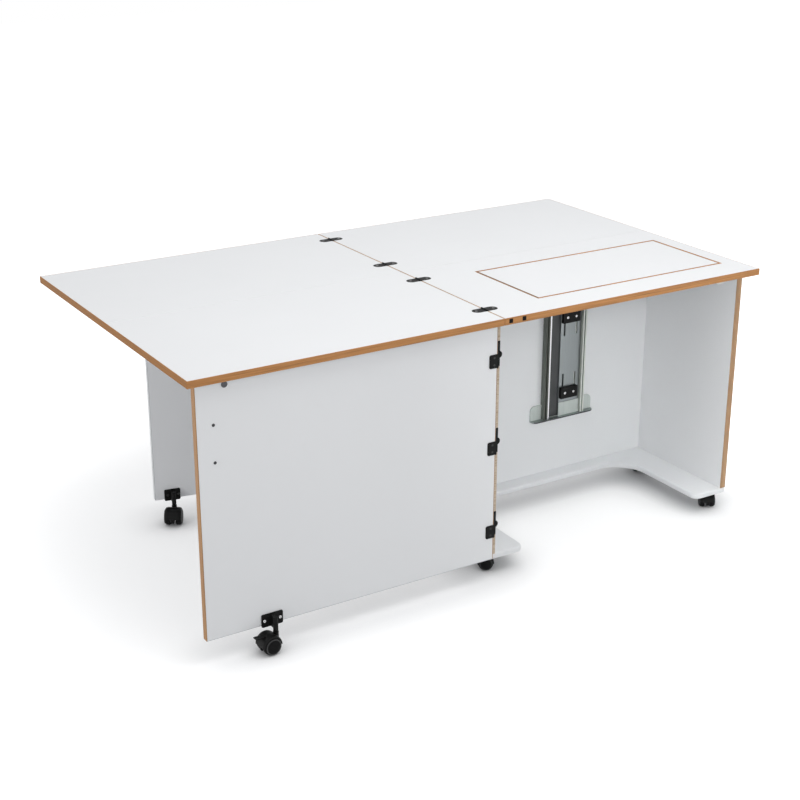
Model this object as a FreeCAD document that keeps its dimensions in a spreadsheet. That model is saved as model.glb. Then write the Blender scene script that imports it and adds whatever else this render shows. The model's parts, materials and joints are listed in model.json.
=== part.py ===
"""Folding sewing cutting table: a cabinet on casters whose four-part top opens out over swinging gates.

Frame: millimetres, +Z up, the floor at Z = 0, X = 0 at the seam across the opened top, +X to the right,
+Y to the back, and Y = 0 half-way through the depth of the whole opened table.
It is built in the opened position. Text arguments are expressions in the aliases of the Sizes sheet.
"""

import FreeCAD
import Part
import math
import os
import re
import Sketcher

from FreeCAD import Placement, Rotation, Vector

SIZES = {
    # the top: four boards that meet at two seams
    "front_y": -487,
    "table_height": 762,
    "board_thick": 19,
    "leaf_length": 888,
    "top_depth": 1000,
    "front_depth": 505,
    "seam_gap": 1,
    "edging_thick": 2,
    # the machine opening and its platform
    "opening_inset": 180,
    "opening_margin": 56,
    "opening_front": 100,
    "opening_rear_gap": 13,
    "opening_edging": 3,
    "platform_gap": 2.5,
    # the cabinet
    "side_overhang": 19.5,
    "panel_front": 45.5,
    "back_overhang": 60,
    "back_thick": 16,
    "base_top": 66,
    "base_thick": 16,
    "base_arm": 118,
    "base_strip": 67,
    "base_corner": 100,
    "arm_tip": 22,
    # the front gate, which is also the cabinet's door
    "door_front": 22,
    "door_trim": 11.5,
    "door_gap": 5,
    "door_top_gap": 5,
    "door_hinge_inset": 96,
    "door_hinge_foot": 85,
    # the two-part rear gate
    "gate_pin_inset": 6,
    "gate_stand": 14,
    "gate_inner": 356,
    "gate_trim": 12.5,
    "gate_gap": 6,
    "gate_top_gap": 10,
    "gate_turn_angle": 115.8,
    "gate_fold_angle": 54,
    "gate_hinge_inset": 31,
    "gate_hinge_foot": 84,
    # hinges
    "leaf_plate": 2,
    "leaf_inset": 1,
    "running_gap": 0.4,
    "bore_gap": 0.05,
    "link_reach": 38,
    "link_width": 30,
    "link_thick": 3,
    "link_rise": 0.5,
    "link_barrel": 2.5,
    "link_pin": 1,
    "link_front_inset": 92,
    "link_seam_inset": 89.5,
    "link_rear_inset": 84,
    "drop_sink": 1,
    "drop_reach": 26,
    "drop_width": 42,
    "drop_barrel": 2.5,
    "drop_inset": 120,
    "drop_end_inset": 128,
    "door_barrel": 3.5,
    "door_pin": 1.6,
    "door_plate_width": 29,
    "door_plate_height": 38,
    "door_plate_corner": 5,
    "door_ear_high": 26,
    "door_ear_foot": 6,
    "door_lobe_radius": 10,
    "door_lobe_inset": 4,
    "door_lobe_rise": 7,
    "gate_barrel": 4,
    "gate_pin": 1.8,
    "gate_knuckle": 24,
    # door furniture
    "handle_spacing": 96,
    "handle_reach": 32,
    "handle_radius": 4.5,
    "handle_bend": 12,
    "handle_inset": 45,
    "handle_drop": 201.5,
    "screw_radius": 2,
    "screw_head": 4,
    "screw_head_thick": 2,
    "strike_inset": 77,
    "strike_drop": 9,
    "strike_radius": 8,
    "strike_thick": 2,
    "catch_width": 34,
    "catch_depth": 24,
    "catch_height": 22,
    "plug_width": 12,
    "plug_depth": 9,
    "plug_inset": 20,
    "plug_spacing": 42,
    # the machine lift on the back panel
    "lift_depth": 18,
    "lift_length": 496,
    "rail_wall": 3,
    "rail_width": 14,
    "rail_slot": 4,
    "left_rail_inset": 450,
    "right_rail_inset": 588,
    "mount_plate_inset": 511,
    "mount_plate_proud": 8,
    "backing_thick": 3,
    "rod_inset": 469,
    "rod_radius": 4.5,
    "rod_stand": 12,
    "block_inset": 513,
    "block_width": 64,
    "block_height": 36,
    "block_rise": 55,
    "block_spacing": 242,
    "block_proud": 9,
    "block_corner": 3,
    "slot_width": 6,
    "slot_height": 42,
    "slot_inset": 522,
    "slot_spacing": 45,
    "foot_inset": 410,
    "foot_width": 230,
    "foot_height": 50,
    "foot_thick": 4,
    "foot_corner": 16,
    "foot_plate_height": 42,
    "foot_plate_thick": 2,
    "carriage_height": 143,
    "carriage_thick": 4,
    "carriage_inset": 444,
    "carriage_width": 164,
    "carriage_gap": 2,
    "slider_height": 30,
    "slider_inset": 4,
    "arm_front": 125,
    "arm_inset": 447,
    "arm_spacing": 128,
    "arm_width": 30,
    "arm_nose": 12,
    "arm_root": 46,
    "arm_plate": 3,
    # casters
    "small_wheel": 21,
    "small_trail": 13,
    "small_width": 46,
    "small_plate": 38,
    "small_plate_thick": 3,
    "small_inset": 33,
    "small_edge": 43.5,
    "large_wheel": 25,
    "large_trail": 21,
    "large_width": 52,
    "hood_gap": 1,
    "hood_thick": 2,
    "tread_edge": 2,
    "boss_radius": 7.5,
    "stem_radius": 4,
    "stem_start": 5,
    "axle_radius": 3,
    "web_thick": 8,
    "brake_width": 16,
    "brake_root": 14,
    "brake_reach": 40,
    "brake_sink": 1,
    "brake_thick": 3,
    "stem_stand": 20,
    "door_mount_width": 60,
    "gate_mount_width": 48,
    "mount_height": 36,
    "mount_drop": 5,
    "mount_thick": 3,
    "mount_corner": 4,
    "mount_web": 10,
    "mount_screw_inset": 8,
    "sleeve_radius": 6.6,
    "sleeve_drop": 9,
    "door_caster_inset": 180,
    "gate_caster_inset": 52,
}

# Lengths that follow from the driving ones: each is a sum of signed aliases.
DERIVED = {
    "opening_right": "leaf_length - opening_margin",
    "opening_back": "panel_back - back_thick - lift_depth - opening_rear_gap",
    "body_width": "leaf_length - side_overhang",
    "panel_back": "front_depth - back_overhang",
    "door_length": "body_width - door_trim",
    "door_top": "table_height - board_thick - door_top_gap",
    "door_hinge_top": "door_top - door_hinge_inset",
    "handle_low": "door_top - handle_drop",
    "gate_pin_back": "panel_back + gate_stand",
    "gate_outer": "body_width - gate_inner - gate_trim",
    "gate_top": "table_height - board_thick - gate_top_gap",
    "gate_hinge_low": "base_top + gate_hinge_foot",
    "link_front_second": "front_depth - link_seam_inset",
    "link_rear_first": "front_depth + seam_gap + link_seam_inset",
    "link_rear_second": "top_depth - link_rear_inset",
    "lift_bottom": "table_height - board_thick - lift_length",
    "block_low": "lift_bottom + block_rise",
    "carriage_low": "table_height - board_thick - carriage_height",
    "small_front": "panel_front + small_edge",
    "small_rear": "panel_back - small_edge",
}

# How many hinges carry each swinging or hanging board.
HINGES = 3

# Half of a caster wheel's section, from its tread to its face, in shares of its radius and half width,
# and the part of it that the hood covers.
WHEEL_DOME = ((1, 0.62), (0.965, 0.8), (0.87, 0.92), (0.7, 0.98), (0.5, 1))
HOOD_DOME = ((1, 0.62), (0.965, 0.8), (0.9, 0.89))

X_AXIS = Vector(1, 0, 0)
Y_AXIS = Vector(0, 1, 0)
Z_AXIS = Vector(0, 0, 1)
NEAR = 1e-3

doc = FreeCAD.newDocument("SewingTable")
sheet = doc.addObject("Spreadsheet::Sheet", "Sizes")
for row, (alias, value) in enumerate(SIZES.items(), start=1):
    sheet.set(f"A{row}", str(value))
    sheet.setAlias(f"A{row}", alias)
doc.recompute()

nodes = {}


def size(alias):
    """The value of one alias of the sheet, or of a derived length."""
    if alias in SIZES:
        return float(sheet.get(alias))
    terms = re.findall(r"([+-]?) ?([a-z_]+)", DERIVED[alias])
    return sum(-size(term) if sign == "-" else size(term) for sign, term in terms)


def sized(text):
    """An expression in bare aliases, with derived lengths written out and the sheet's name before each."""
    def written(word):
        alias = word[0]
        return f"({sized(DERIVED[alias])})" if alias in DERIVED else f"Sizes.{alias}"
    return re.sub(r"[a-z][a-z_]+", written, str(text))


def bind(obj, prop, text):
    obj.setExpression(prop, sized(text))


def place(obj, x, y, z):
    """Binds the place of an object's own origin."""
    for axis, text in zip("xyz", (x, y, z)):
        bind(obj, f"Placement.Base.{axis}", text)


def box(name, x, y, z, length, width, height):
    """A box from its lowest corner and its three sizes."""
    solid = doc.addObject("Part::Box", name)
    bind(solid, "Length", length)
    bind(solid, "Width", width)
    bind(solid, "Height", height)
    place(solid, x, y, z)
    return solid


def cylinder(name, x, y, z, radius, height, along=Z_AXIS):
    """A cylinder from the centre of its first end, along one axis."""
    solid = doc.addObject("Part::Cylinder", name)
    bind(solid, "Radius", radius)
    bind(solid, "Height", height)
    solid.Placement = Placement(Vector(), Rotation(Z_AXIS, along))
    place(solid, x, y, z)
    return solid


def fuse(name, solids):
    joined = doc.addObject("Part::MultiFuse", name)
    joined.Shapes = solids
    return joined


def cut(name, base, tool):
    left = doc.addObject("Part::Cut", name)
    left.Base = base
    left.Tool = tool
    return left


def group(name, solids):
    """Separate solids that share one node."""
    held = doc.addObject("Part::Compound", name)
    held.Links = solids
    return held


def node(name, obj):
    """Names an object as a finished sub-part."""
    obj.Label = name
    nodes[name] = obj
    return obj


def sketch_on(body, role, start="0"):
    """A sketch on one of the body's origin planes, moved along that plane's normal."""
    sketch = body.newObject("Sketcher::SketchObject", body.Name + "Sketch")
    plane = next(p for p in body.Origin.OriginFeatures if p.Role == role)
    sketch.AttachmentSupport = [(plane, "")]
    sketch.MapMode = "FlatFace"
    bind(sketch, "AttachmentOffset.Base.z", start)
    return sketch


def pin_point(sketch, edge, end, x, y):
    """Fixes one end of an edge, or a circle's centre, at bound distances from the sketch's origin."""
    for kind, text in (("DistanceX", x), ("DistanceY", y)):
        index = sketch.addConstraint(Sketcher.Constraint(kind, -1, 1, edge, end, 1.0))
        bind(sketch, f"Constraints[{index}]", text)


def add_outline(sketch, points):
    """A closed outline of straight edges through points that are pairs of expressions."""
    count = len(points)
    turns = [2 * math.pi * i / count for i in range(count)]
    rough = [Vector(math.cos(a), math.sin(a), 0) for a in turns]
    first = sketch.GeometryCount
    for i in range(count):
        sketch.addGeometry(Part.LineSegment(rough[i], rough[(i + 1) % count]), False)
    for i in range(count):
        sketch.addConstraint(Sketcher.Constraint("Coincident", first + i, 2, first + (i + 1) % count, 1))
    for i, (x, y) in enumerate(points):
        pin_point(sketch, first + i, 1, x, y)


def add_circle(sketch, x, y, radius):
    edge = sketch.addGeometry(Part.Circle(Vector(), Z_AXIS, 1.0), False)
    pin_point(sketch, edge, 3, x, y)
    index = sketch.addConstraint(Sketcher.Constraint("Radius", edge, 1.0))
    bind(sketch, f"Constraints[{index}]", radius)


def rectangle(x0, y0, x1, y1):
    return [(x0, y0), (x1, y0), (x1, y1), (x0, y1)]


def extrusion(name, role, loops, start, length):
    """A body padded from one sketch whose first loop is the outline and whose other loops are holes."""
    body = doc.addObject("PartDesign::Body", name)
    sketch = sketch_on(body, role, start)
    for loop in loops:
        add_outline(sketch, loop)
    pad = body.newObject("PartDesign::Pad", name + "Pad")
    pad.Profile = sketch
    bind(pad, "Length", length)
    return body


def edges_along(shape, axis, keep):
    """Numbers of the straight edges along an axis whose middle passes the test."""
    found = []
    for number, edge in enumerate(shape.Edges, start=1):
        low, high = edge.Vertexes[0].Point, edge.Vertexes[-1].Point
        if (high - low).cross(axis).Length < NEAR and (high - low).Length > NEAR and keep((low + high) / 2):
            found.append(number)
    return found


def rounded(name, base, axis, keep, alias):
    """The base with its chosen edges along an axis rounded to the radius of one alias."""
    doc.recompute()
    radius = size(alias)
    fillet = doc.addObject("Part::Fillet", name)
    fillet.Base = base
    fillet.Edges = [(number, radius, radius) for number in edges_along(base.Shape, axis, keep)]
    return fillet


# ---------------------------------------------------------------- places that several pieces share

UNDER = "(table_height - board_thick)"
HALF_SEAM = "(seam_gap / 2)"
SIDE_RIGHT = "(body_width - board_thick)"
BACK_FACE = "(front_y + panel_back - back_thick)"
DOOR_PIN_Y = "(front_y + door_front + board_thick / 2)"
DOOR_END = "(door_gap + door_length)"
RAIL_FRONT = f"({BACK_FACE} - lift_depth)"
LINK_Z = "(table_height + link_rise)"
DROP_Y = f"(front_y + front_depth + {HALF_SEAM})"
DROP_Z = f"({UNDER} - drop_sink)"
DROP_STEP = f"((leaf_length - drop_inset - drop_end_inset) / {HINGES - 1})"
DOOR_HINGE_STEP = f"((door_top - base_top - door_hinge_inset - door_hinge_foot) / {HINGES - 1})"
GATE_HINGE_STEP = f"((gate_top - gate_hinge_low - gate_hinge_inset - 3 * gate_knuckle) / {HINGES - 1})"


# ---------------------------------------------------------------- the top

def link_recesses(name, side, first, second):
    """What two link hinges take out of one board: a round-ended bed each, and room for the knuckle."""
    tools = []
    sign = "" if side > 0 else "-"
    for place_name, y in (("First", first), ("Second", second)):
        low = f"front_y + {y} - link_width / 2 - running_gap / 2"
        wide = "link_width + running_gap"
        straight = "link_reach - link_width / 2"
        x0 = "0" if side > 0 else f"-({straight})"
        bed = box(name + place_name + "Bed", x0, low, "table_height - link_thick",
                  straight, wide, "2 * link_thick")
        end = cylinder(name + place_name + "End", f"{sign}({straight})", f"front_y + {y}",
                       "table_height - link_thick", "link_width / 2 + running_gap / 2", "2 * link_thick")
        room = cylinder(name + place_name + "Room", "0", low, LINK_Z,
                        "link_barrel + running_gap", wide, Y_AXIS)
        tools += [bed, end, room]
    return tools


def drop_rooms(name):
    """What the drop hinges' knuckles take out of the boards beside the long seam."""
    rooms = []
    for i in range(HINGES):
        x = f"drop_inset + {i} * {DROP_STEP} - drop_width / 2 - running_gap"
        rooms.append(cylinder(f"{name}{i}", x, DROP_Y, DROP_Z, "drop_barrel + running_gap",
                              "drop_width + 2 * running_gap", X_AXIS))
    return rooms


def banded_board(name, x0, y0, x1, y1, hole=None):
    """A board edged on three sides. y1 is the unedged side, whichever way it lies from y0."""
    inward = "+" if y0 == "front_y" else "-"
    left, right = f"{x0} + edging_thick", f"{x1} - edging_thick"
    near = f"{y0} {inward} edging_thick"
    loops = [rectangle(left, near, right, y1)]
    if hole:
        loops.append(hole)
    board = extrusion(name + "Board", "XY_Plane", loops, UNDER, "board_thick")
    band = [(x0, y0), (x1, y0), (x1, y1), (right, y1), (right, near), (left, near), (left, y1), (x0, y1)]
    edging = extrusion(name + "Band", "XY_Plane", [band], UNDER, "board_thick")
    return board, edging


def finish_board(name, board, edging, tools):
    """Cuts the same recesses in a board and its edging, and names both."""
    tool = fuse(name + "_tools", tools)
    node(name, cut(name + "_cut", board, tool))
    return cut(name + "_edging_cut", edging, tool)


def main_top():
    """The fixed front right board, with the machine opening and two edge plugs."""
    hole = rectangle("opening_inset - opening_edging", "front_y + opening_front - opening_edging",
                     "opening_right + opening_edging", "front_y + opening_back + opening_edging")
    board, edging = banded_board("Main", HALF_SEAM, "front_y", "leaf_length",
                                 "front_y + front_depth", hole)
    lining = extrusion("Lining", "XY_Plane", [hole, rectangle(
        "opening_inset", "front_y + opening_front", "opening_right", "front_y + opening_back")],
        UNDER, "board_thick")
    plugs = [edge_plug(i, f"EdgePlug{i}") for i in range(2)]
    pockets = [edge_plug(i, f"EdgePocket{i}") for i in range(2)]
    tools = link_recesses("MainLink", 1, "link_front_inset", "link_front_second")
    edging = finish_board("main_top", board, edging, tools + drop_rooms("MainDrop") + pockets)
    node("main_top_edging", group("MainEdging", [edging, lining]))
    node("edge_plugs", group("EdgePlugs", plugs))


def edge_plug(i, name):
    """A square plug let into the top's front edge, flush with it."""
    x = f"plug_inset + {i} * plug_spacing - plug_width / 2"
    z = f"{UNDER} + (board_thick - plug_width) / 2"
    return box(name, x, "front_y", z, "plug_width", "plug_depth", "plug_width")


def leaves():
    """The three boards that fold: front left over the main top, rear left over rear right."""
    board, edging = banded_board("FrontLeft", "-leaf_length", "front_y", f"-{HALF_SEAM}",
                                 "front_y + front_depth")
    tools = link_recesses("FrontLeftLink", -1, "link_front_inset", "link_front_second")
    node("front_left_edging", finish_board("front_left_leaf", board, edging, tools))

    rear = "front_y + front_depth + seam_gap"
    board, edging = banded_board("RearRight", HALF_SEAM, "front_y + top_depth", "leaf_length", rear)
    tools = link_recesses("RearRightLink", 1, "link_rear_first", "link_rear_second")
    tools += drop_rooms("RearRightDrop")
    node("rear_right_edging", finish_board("rear_right_leaf", board, edging, tools))

    board, edging = banded_board("RearLeft", "-leaf_length", "front_y + top_depth", f"-{HALF_SEAM}", rear)
    tools = link_recesses("RearLeftLink", -1, "link_rear_first", "link_rear_second")
    node("rear_left_edging", finish_board("rear_left_leaf", board, edging, tools))


def link_half(name, side, y, middle):
    """Half of a flush hinge across the short seam. The middle half has the bored centre knuckle."""
    knuckle = "link_width / 3"
    low = f"front_y + {y} - link_width / 2"
    straight = "link_reach - link_width / 2"
    reach = f"{straight} - link_barrel - running_gap"
    x0 = "link_barrel + running_gap" if side > 0 else f"-({straight})"
    plate = box(name + "Plate", x0, low, "table_height - link_thick", reach, "link_width", "link_thick")
    sign = "" if side > 0 else "-"
    end = cylinder(name + "End", f"{sign}({straight})", f"front_y + {y}", "table_height - link_thick",
                   "link_width / 2", "link_thick")
    x0 = "0" if side > 0 else "-link_barrel - running_gap"
    solids = [plate, end]
    if middle:
        spans = [(f"{low} + {knuckle} + running_gap / 4", f"{knuckle} - running_gap / 2")]
    else:
        spans = [(low, knuckle), (f"{low} + 2 * {knuckle}", knuckle)]
    for i, (start, wide) in enumerate(spans):
        solids.append(cylinder(f"{name}Knuckle{i}", "0", start, LINK_Z, "link_barrel", wide, Y_AXIS))
        solids.append(box(f"{name}Tongue{i}", x0, start, "table_height - link_thick",
                          "link_barrel + running_gap", wide, "link_thick"))
    if not middle:
        solids.append(cylinder(name + "Pin", "0", low, LINK_Z, "link_pin", "link_width", Y_AXIS))
        return fuse(name, solids)
    bore = cylinder(name + "Bore", "0", low, LINK_Z, "link_pin + bore_gap", "link_width", Y_AXIS)
    return cut(name, fuse(name + "Solid", solids), bore)


def link_hinges():
    """The four flush hinges that let one board fold over its neighbour."""
    pairs = {"front": ("link_front_inset", "link_front_second"),
             "rear": ("link_rear_first", "link_rear_second")}
    fixed = {"front": "link_hinges_main", "rear": "link_hinges_rear_right"}
    moving = {"front": "link_hinges_front_left", "rear": "link_hinges_rear_left"}
    for row, places in pairs.items():
        for names, side, middle in ((fixed, 1, False), (moving, -1, True)):
            halves = [link_half(f"{names[row]}_{i}", side, y, middle) for i, y in enumerate(places)]
            node(names[row], group(names[row] + "_group", halves))


def drop_half(name, i, side):
    """Half of a hinge under the long seam. The leaf's half, side +1, has the bored centre knuckle."""
    knuckle = "drop_width / 3"
    low = f"drop_inset + {i} * {DROP_STEP} - drop_width / 2"
    reach = "drop_reach - drop_barrel - running_gap"
    y0 = f"{DROP_Y} + drop_barrel + running_gap" if side > 0 else f"{DROP_Y} - drop_reach"
    plate = box(name + "Plate", low, y0, f"{UNDER} - leaf_plate", "drop_width", reach, "leaf_plate")
    y0 = DROP_Y if side > 0 else f"{DROP_Y} - drop_barrel - running_gap"
    solids = [plate]
    if side > 0:
        spans = [(f"{low} + {knuckle} + running_gap / 4", f"{knuckle} - running_gap / 2")]
    else:
        spans = [(low, knuckle), (f"{low} + 2 * {knuckle}", knuckle)]
    for j, (start, wide) in enumerate(spans):
        solids.append(cylinder(f"{name}Knuckle{j}", start, DROP_Y, DROP_Z, "drop_barrel", wide, X_AXIS))
        solids.append(box(f"{name}Tongue{j}", start, y0, f"{UNDER} - leaf_plate",
                          wide, "drop_barrel + running_gap", "leaf_plate"))
    if side < 0:
        solids.append(cylinder(name + "Pin", low, DROP_Y, DROP_Z, "link_pin", "drop_width", X_AXIS))
        return fuse(name, solids)
    bore = cylinder(name + "Bore", low, DROP_Y, DROP_Z, "link_pin + bore_gap", "drop_width", X_AXIS)
    return cut(name, fuse(name + "Solid", solids), bore)


def drop_hinges():
    """Three hinges under the boards, on which both rear leaves hang down behind the cabinet."""
    node("drop_hinges_main", group("DropMain", [drop_half(f"DropMain{i}", i, -1) for i in range(HINGES)]))
    node("drop_hinges_leaf", group("DropLeaf", [drop_half(f"DropLeaf{i}", i, 1) for i in range(HINGES)]))


# ---------------------------------------------------------------- the cabinet

def cabinet_boards():
    """Two side panels and a back panel between the base board and the top."""
    panel_start = "front_y + panel_front + edging_thick"
    depth = "panel_back - panel_front - edging_thick"
    rise = f"{UNDER} - base_top"
    node("left_panel", box("LeftPanel", "0", panel_start, "base_top", "board_thick", depth, rise))
    node("right_panel", box("RightPanel", SIDE_RIGHT, panel_start, "base_top", "board_thick", depth, rise))
    node("back_panel", box("BackPanel", "board_thick", BACK_FACE, "base_top",
                           f"{SIDE_RIGHT} - board_thick", "back_thick", rise))
    strips = [box(name, x, "front_y + panel_front", "base_top", "board_thick", "edging_thick", rise)
              for name, x in (("LeftStrip", "0"), ("RightStrip", SIDE_RIGHT))]
    node("side_panel_edging", group("PanelEdging", strips))


def base_board():
    """The U-shaped board under the panels, with round inner corners and arm tips."""
    front = "front_y + panel_front"
    back = "front_y + panel_back"
    inner = "front_y + panel_back - base_strip"
    inner_right = "body_width - base_arm"
    outline = [("0", front), ("base_arm", front), ("base_arm", inner), (inner_right, inner),
               (inner_right, front), ("body_width", front), ("body_width", back), ("0", back)]
    plain = extrusion("BasePlain", "XY_Plane", [outline], "base_top - base_thick", "base_thick")
    inner_y = size("front_y") + size("panel_back") - size("base_strip")
    front_y = size("front_y") + size("panel_front")
    arms = (size("base_arm"), size("body_width") - size("base_arm"))
    corners = rounded("BaseCorners", plain, Z_AXIS, lambda p: abs(p.y - inner_y) < NEAR, "base_corner")
    tips = rounded("BaseTips", corners, Z_AXIS, lambda p: abs(p.y - front_y) < NEAR and min(
        abs(p.x - arm) for arm in arms) < NEAR, "arm_tip")
    node("base_board", tips)


# ---------------------------------------------------------------- the front gate

def ring(name, x0, x1, low, high, y_front):
    """Edging round the four edges of an upright board that lies along X."""
    outer = rectangle(x0, low, x1, high)
    inner = rectangle(f"{x0} + edging_thick", f"{low} + edging_thick",
                      f"{x1} - edging_thick", f"{high} - edging_thick")
    return extrusion(name, "XZ_Plane", [outer, inner], f"-({y_front} + board_thick)", "board_thick")


def door():
    """The door board, its oak edging, and through holes for the handle's screws."""
    face = "front_y + door_front"
    x0, x1 = f"-{DOOR_END}", "-door_gap"
    board = box("DoorBoard", f"{x0} + edging_thick", face, "base_top + edging_thick",
                "door_length - 2 * edging_thick", "board_thick", "door_top - base_top - 2 * edging_thick")
    holes = [cylinder(f"HandleHole{i}", f"{x0} + handle_inset", face,
                      f"handle_low + {i} * handle_spacing", "screw_radius + bore_gap", "board_thick", Y_AXIS)
             for i in range(2)]
    node("door_panel", cut("DoorPanel", board, fuse("HandleHoles", holes)))
    node("door_edging", ring("DoorEdging", x0, x1, "base_top", "door_top", face))


def door_hinge_fixed(i, low, high):
    """The fixed half: a strip with a round lobe on the panel's front edge, and an ear at each end."""
    back = "front_y + panel_front"
    pad = "leaf_plate"
    foot = f"{low} - door_ear_foot"
    tall = "door_plate_height + door_ear_foot + door_ear_high"
    solids = [
        box(f"DoorStrip{i}", f"-{pad} / 2", f"{back} - {pad}", foot,
            f"board_thick - leaf_inset + {pad} / 2", pad, tall),
        cylinder(f"DoorLobe{i}", "board_thick - door_lobe_inset", f"{back} - {pad}",
                 f"({low} + {high}) / 2 + door_lobe_rise", "door_lobe_radius", pad, Y_AXIS),
        cylinder(f"DoorPin{i}", "0", DOOR_PIN_Y, foot, "door_pin", tall)]
    ears = {"High": (f"{high} + running_gap / 2", "door_ear_high - running_gap / 2"),
            "Low": (foot, "door_ear_foot - running_gap / 2")}
    for name, (z, rise) in ears.items():
        solids.append(box(f"DoorWeb{i}{name}", f"-{pad} / 2", DOOR_PIN_Y, z, pad,
                          f"{back} - {DOOR_PIN_Y}", rise))
        solids.append(cylinder(f"DoorEnd{i}{name}", "0", DOOR_PIN_Y, z, "door_barrel", rise))
    return fuse(f"DoorHingeFixed{i}", solids)


def door_hinge_moving(i, low):
    """The moving half: a knuckle and a plate that wraps round the door's edge onto its front face."""
    face = "front_y + door_front"
    pad = "leaf_plate"
    tall = "door_plate_height"
    plate = box(f"DoorPlate{i}", f"-{pad} - door_plate_width", f"{face} - {pad}", low,
                "door_plate_width", pad, tall)
    free_end = -size(pad) - size("door_plate_width")
    wrap = [rounded(f"DoorPlateCorners{i}", plate, Y_AXIS, lambda p: abs(p.x - free_end) < NEAR,
                    "door_plate_corner"),
            box(f"DoorTurn{i}", "-door_gap + running_gap / 2", f"{face} - {pad}", low, pad,
                f"board_thick / 2 + {pad}", tall),
            cylinder(f"DoorKnuckle{i}", "0", DOOR_PIN_Y, low, "door_barrel", tall)]
    bore = cylinder(f"DoorBore{i}", "0", DOOR_PIN_Y, low, "door_pin + bore_gap", tall)
    return cut(f"DoorHingeMoving{i}", fuse(f"DoorWrap{i}", wrap), bore)


def door_hinges():
    """The three hinges between the left panel and the front gate."""
    fixed, moving = [], []
    for i in range(HINGES):
        middle = f"(door_hinge_top - {i} * {DOOR_HINGE_STEP})"
        low = f"({middle} - door_plate_height / 2)"
        high = f"({middle} + door_plate_height / 2)"
        fixed.append(door_hinge_fixed(i, low, high))
        moving.append(door_hinge_moving(i, low))
    node("door_hinges_fixed", group("DoorHingesFixed", fixed))
    node("door_hinges_moving", group("DoorHingesMoving", moving))


def door_handle():
    """A round bow handle, bent at both ends and swept along its centre line."""
    body = doc.addObject("PartDesign::Body", "Handle")
    spine = sketch_on(body, "XZ_Plane")
    length, reach, bend = size("handle_spacing"), size("handle_reach"), size("handle_bend")
    corners = [Vector(0, 0, 0), Vector(0, reach - bend, 0), Vector(bend, reach, 0),
               Vector(length - bend, reach, 0), Vector(length, reach - bend, 0), Vector(length, 0, 0)]
    quarter = math.pi / 2
    for geometry in (
            Part.LineSegment(corners[0], corners[1]),
            Part.ArcOfCircle(Part.Circle(Vector(bend, reach - bend, 0), Z_AXIS, bend), quarter, 2 * quarter),
            Part.LineSegment(corners[2], corners[3]),
            Part.ArcOfCircle(Part.Circle(Vector(length - bend, reach - bend, 0), Z_AXIS, bend), 0, quarter),
            Part.LineSegment(corners[4], corners[5])):
        spine.addGeometry(geometry, False)
    profile = sketch_on(body, "XY_Plane")
    add_circle(profile, "0", "0", "handle_radius")
    doc.recompute()
    pipe = body.newObject("PartDesign::AdditivePipe", "HandlePipe")
    pipe.Profile = profile
    pipe.Spine = (spine, [])
    return body


def door_furniture():
    """Handle and screws near the free end, strike button on the other face, and the catch it meets."""
    face = "front_y + door_front"
    handle_x = f"-{DOOR_END} + handle_inset"
    handle = door_handle()
    # the bow's own Z, away from the door, turns to +Y, and its X, along the grip, turns to +Z
    handle.Placement = Placement(Vector(), Rotation(Vector(1, 1, 1), 240))
    place(handle, handle_x, f"{face} + board_thick", "handle_low")
    node("door_handle", handle)
    screws = []
    for i in range(2):
        z = f"handle_low + {i} * handle_spacing"
        head = cylinder(f"HandleHead{i}", handle_x, f"{face} - screw_head_thick", z,
                        "screw_head", "screw_head_thick", Y_AXIS)
        shank = cylinder(f"HandleShank{i}", handle_x, f"{face} - screw_head_thick", z,
                         "screw_radius", "board_thick + screw_head_thick", Y_AXIS)
        screws.append(fuse(f"HandleScrew{i}", [head, shank]))
    node("handle_screws", group("HandleScrews", screws))
    node("strike_button", cylinder("Strike", f"-{DOOR_END} + strike_inset", f"{face} - strike_thick",
                                   "door_top - strike_drop", "strike_radius", "strike_thick", Y_AXIS))
    node("magnetic_catch", box("Catch", f"{DOOR_END} - strike_inset - catch_width / 2",
                               f"{face} + board_thick + strike_thick + running_gap",
                               f"{UNDER} - catch_height", "catch_width", "catch_depth", "catch_height"))


# ---------------------------------------------------------------- the rear gates

def gate_half(name, tongue_start, plate_start, spans):
    """Knuckles, tongues and end plates of one half of a gate hinge, about the Z axis of its own frame."""
    solids = []
    for i, (z, tall) in enumerate(spans):
        solids.append(cylinder(f"{name}Knuckle{i}", "0", "0", z, "gate_barrel", tall))
        solids.append(box(f"{name}Tongue{i}", tongue_start, "-leaf_plate / 2", z,
                          "gate_gap", "leaf_plate", tall))
        solids.append(box(f"{name}Plate{i}", plate_start, "-board_thick / 3", z,
                          "leaf_plate", "2 * board_thick / 3", tall))
    return solids


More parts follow.
